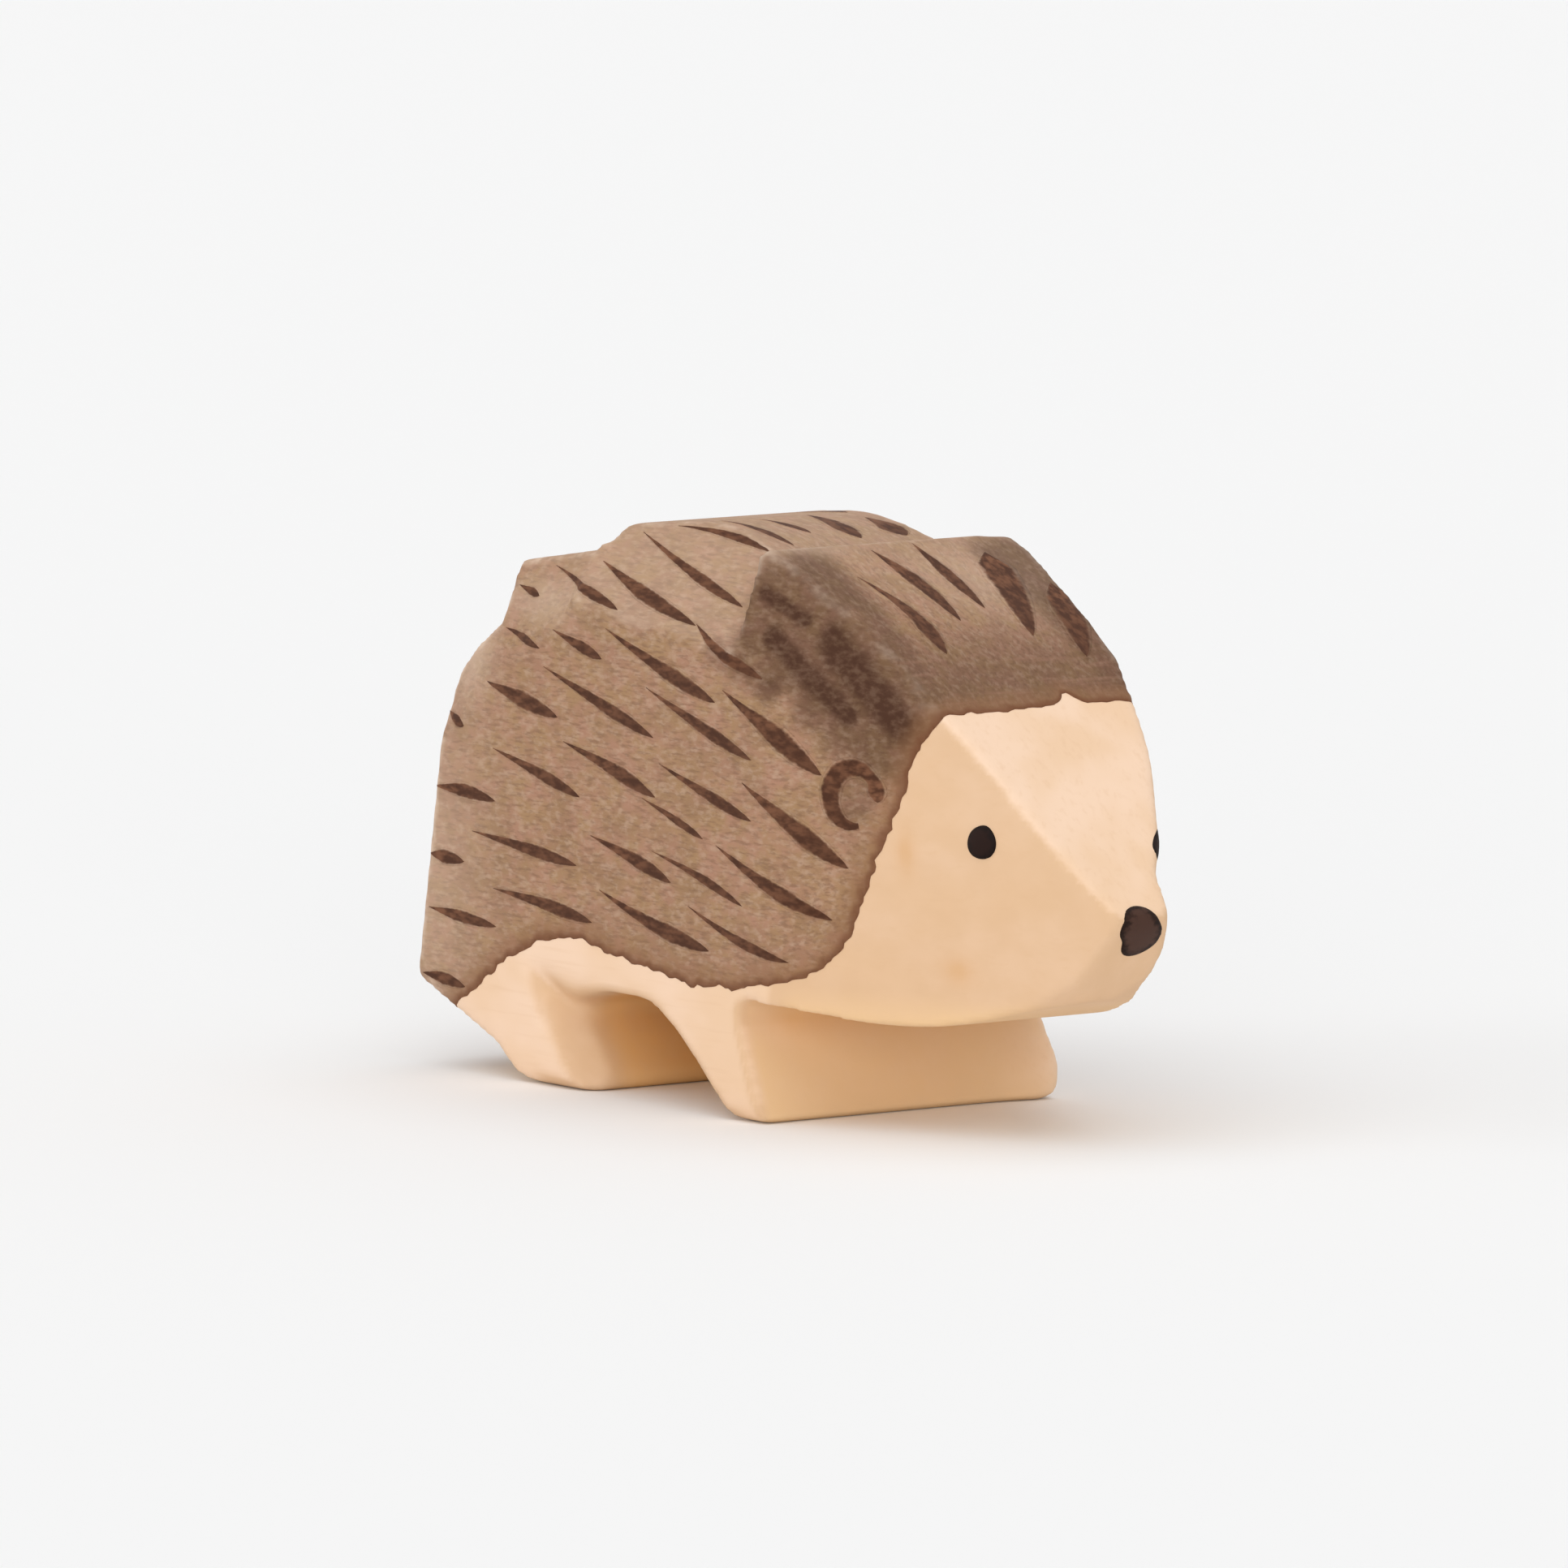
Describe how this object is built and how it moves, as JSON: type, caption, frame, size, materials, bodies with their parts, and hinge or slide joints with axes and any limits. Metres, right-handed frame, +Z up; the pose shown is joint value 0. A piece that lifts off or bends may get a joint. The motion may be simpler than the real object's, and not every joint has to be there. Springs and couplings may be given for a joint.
{
  "type": "hedgehog figurine",
  "caption": "Stylised hedgehog figurine sawn and carved from a board of pale wood, with a stepped stained back, painted quill dashes, dot eyes and a nose dab; it stands on its own legs.",
  "frame": {"origin": "on the ground, under the middle of the figure's length and width", "axes": "+X along the body to the nose, +Y to the animal's left, +Z up"},
  "size_m": [0.0665, 0.0252, 0.0392],
  "materials": {
    "bare_wood": "sanded and oiled",
    "stained_wood": "thin brown water stain",
    "quill_paint": "thin matt brush paint",
    "dark_paint": "satin paint dabs"
  },
  "bodies": {
    "root": {"carved_body": "bare_wood", "quill_coat": "stained_wood", "quill_strokes_right": "quill_paint", "quill_strokes_left": "quill_paint", "quill_strokes_back": "quill_paint", "right_ear_mark": "quill_paint", "left_ear_mark": "quill_paint", "right_eye": "dark_paint", "left_eye": "dark_paint", "nose": "dark_paint"}
  },
  "joints": []
}
